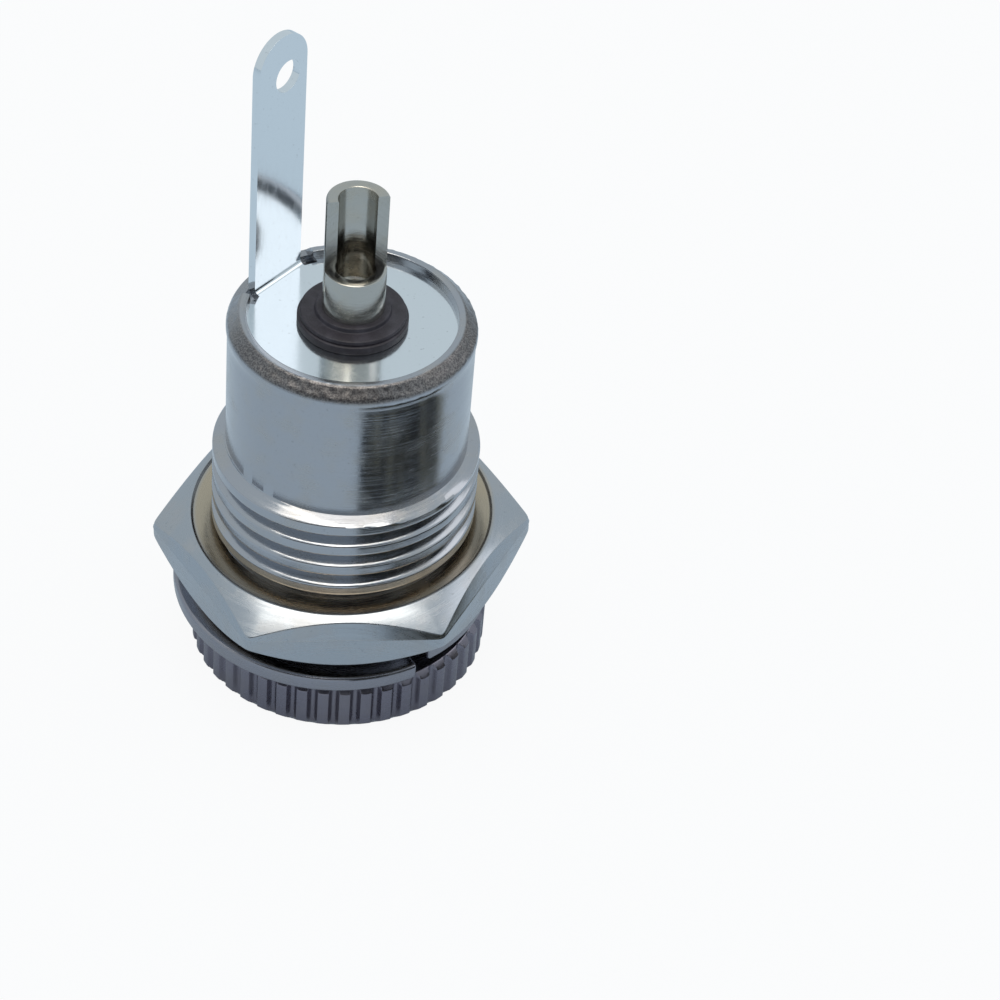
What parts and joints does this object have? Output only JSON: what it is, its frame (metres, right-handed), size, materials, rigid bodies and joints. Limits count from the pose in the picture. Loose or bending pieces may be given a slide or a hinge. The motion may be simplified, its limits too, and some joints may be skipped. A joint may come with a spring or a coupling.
{
  "type": "dc barrel jack",
  "caption": "Panel-mount DC barrel jack with a knurled front flange, threaded metal body, hex nut, spring washer, a flat solder lug and a central solder cup.",
  "frame": {"origin": "where the socket's axis meets the plane of the front face", "axes": "+Z along the socket's axis, from the front face that the plug enters to the solder terminals; the solder lug stands on the -X side and the solder cup opens to -Y and a little to +X"},
  "size_m": [0.0172, 0.016, 0.0309],
  "materials": {
    "nickel_body": "nickel-plated brass, turned",
    "nickel_nut": "nickel-plated, satin faces",
    "nickel_washer": "nickel-plated spring steel",
    "bright_plate": "bright tin-plated sheet",
    "bronze": "phosphor bronze strip",
    "pin_metal": "nickel-plated brass, turned",
    "black_plastic": "moulded black plastic",
    "bush_plastic": "moulded black plastic, satin"
  },
  "bodies": {
    "root": {"shell": "nickel_body", "hex_nut": "nickel_nut", "spring_washer": "nickel_washer", "ground_plate": "bright_plate", "contact_spring": "bronze", "centre_pin": "pin_metal", "liner": "black_plastic", "rear_bush": "bush_plastic"}
  },
  "joints": []
}
